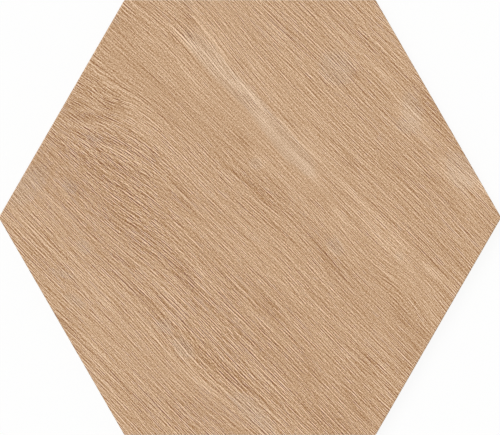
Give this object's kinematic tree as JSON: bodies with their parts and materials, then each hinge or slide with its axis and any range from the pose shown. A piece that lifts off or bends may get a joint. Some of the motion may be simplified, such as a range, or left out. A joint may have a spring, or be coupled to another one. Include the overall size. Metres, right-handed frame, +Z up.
{
  "type": "hexagonal porcelain tile",
  "caption": "Flat hexagonal porcelain tile with a matt wood-grain face, eased edges and a ribbed keying back, for bonding to floors and walls.",
  "frame": {"origin": "under the tile's middle, in the plane of the back's rib crests that it rests on", "axes": "+Z up out of the face; +X from corner to corner; +Y from side to side"},
  "size_m": [0.2306, 0.2, 0.008],
  "materials": {
    "porcelain": "matte"
  },
  "bodies": {
    "root": {"porcelain_tile": "porcelain"}
  },
  "joints": []
}
